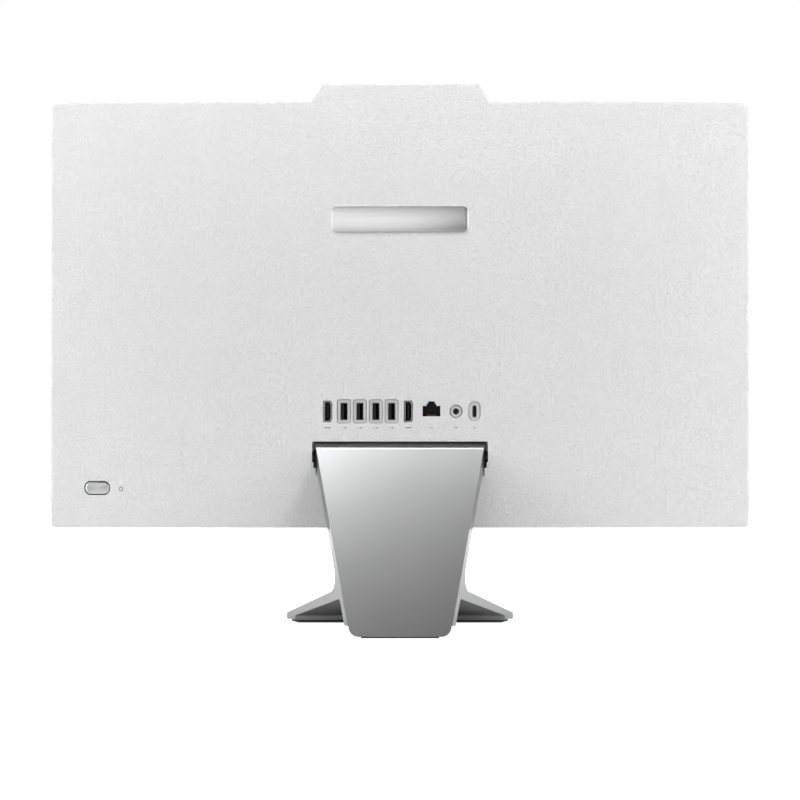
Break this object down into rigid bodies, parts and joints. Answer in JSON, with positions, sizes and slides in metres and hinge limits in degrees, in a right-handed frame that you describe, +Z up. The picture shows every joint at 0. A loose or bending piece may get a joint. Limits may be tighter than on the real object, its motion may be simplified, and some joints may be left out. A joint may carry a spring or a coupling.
{
  "type": "all in one pc",
  "caption": "Desktop computer built into a flat screen: white crowned rear cover with a port row and camera bump, tilting on a flared metal stand.",
  "frame": {"origin": "on the table, under the centre of the whole object's box", "axes": "+Z up, the screen faces -Y, the ports face +Y, +X to the screen side's right as seen by its user"},
  "size_m": [0.54, 0.1914, 0.4209],
  "materials": {
    "white_plastic": "fine embossed texture",
    "bezel_plastic": "fine satin",
    "screen": "anti-glare satin",
    "sheet_plastic": "clear",
    "stand_metal": "bead blasted satin",
    "polished_metal": "polished",
    "button_metal": "spun",
    "foot_rubber": "matte",
    "sheet_steel": "galvanised",
    "port_metal": "bright",
    "surround_plastic": "satin",
    "black_plastic": "satin",
    "grey_plastic": "satin",
    "circuit_board": "solder mask",
    "copper": "satin",
    "gold_contacts": "bright",
    "black_steel": "black oxide",
    "fastener_steel": "zinc plated",
    "bush_bronze": "satin",
    "lens_glass": "coated",
    "heatsink_metal": "bare",
    "cable_film": "polyimide film"
  },
  "bodies": {
    "stand": {"stand_casting": "stand_metal", "rear_foot_pad": "foot_rubber", "front_foot_pad": "foot_rubber", "hinge_bushes": "bush_bronze"},
    "head": {"rear_cover": "white_plastic", "front_bezel": "bezel_plastic", "lcd_panel": "screen", "diffuser_sheets": "sheet_plastic", "light_guide": "sheet_plastic", "led_bar": "gold_contacts", "backlight_tray": "sheet_steel", "chassis_plate": "sheet_steel", "cover_screws": "fastener_steel", "badge_plate": "polished_metal", "motherboard": "circuit_board", "motherboard_standoffs": "bush_bronze", "motherboard_screws": "fastener_steel", "processor": "grey_plastic", "cold_plate": "copper", "heat_pipe": "copper", "fin_stack": "heatsink_metal", "fan_housing": "black_plastic", "memory_sockets": "grey_plastic", "memory_modules": "circuit_board", "ssd_module": "circuit_board", "wireless_card": "circuit_board", "coin_cell": "fastener_steel", "port_surround": "surround_plastic", "hdmi_out_port": "port_metal", "hdmi_in_port": "port_metal", "usb_port_1": "port_metal", "usb_port_2": "port_metal", "usb_port_3": "port_metal", "usb_port_4": "port_metal", "usb_c_port": "port_metal", "socket_tongues": "black_plastic", "lan_port": "black_plastic", "lan_contacts": "gold_contacts", "dc_inlet": "surround_plastic", "dc_pin": "port_metal", "audio_jack": "black_plastic", "power_switch_board": "circuit_board", "power_light_pipe": "sheet_plastic", "webcam_module": "black_plastic", "webcam_lens": "lens_glass", "webcam_window": "lens_glass", "microphones": "fastener_steel", "speaker_left": "black_plastic", "speaker_right": "black_plastic", "display_cable": "cable_film", "webcam_cable": "cable_film", "antennas": "copper", "hinge_shaft": "black_steel", "hinge_brackets": "sheet_steel", "hinge_screws": "fastener_steel", "hinge_disc_springs": "fastener_steel", "hinge_nuts": "fastener_steel"},
    "power_button": {"power_button": "button_metal"},
    "privacy_shutter": {"privacy_shutter": "black_plastic"},
    "fan_rotor": {"fan_rotor": "black_plastic"}
  },
  "joints": [
    {"name": "tilt", "type": "hinge", "parent": "stand", "child": "head", "pos_m": [0, -0.0111, 0.1319], "axis": [-1, 0, 0], "range_deg": [-5, 20]},
    {"name": "power_press", "type": "slide", "parent": "head", "child": "power_button", "axis": [-0.1237, -0.9923, 0], "range_m": [0, 0.0008], "stiffness_N_per_m": 400},
    {"name": "shutter_slide", "type": "slide", "parent": "head", "child": "privacy_shutter", "axis": [-1, 0, 0], "range_m": [0, 0.0065]},
    {"name": "fan_spin", "type": "hinge", "parent": "head", "child": "fan_rotor", "pos_m": [-0.15, -0.019, 0.232], "axis": [0, 1, 0], "continuous": true}
  ]
}
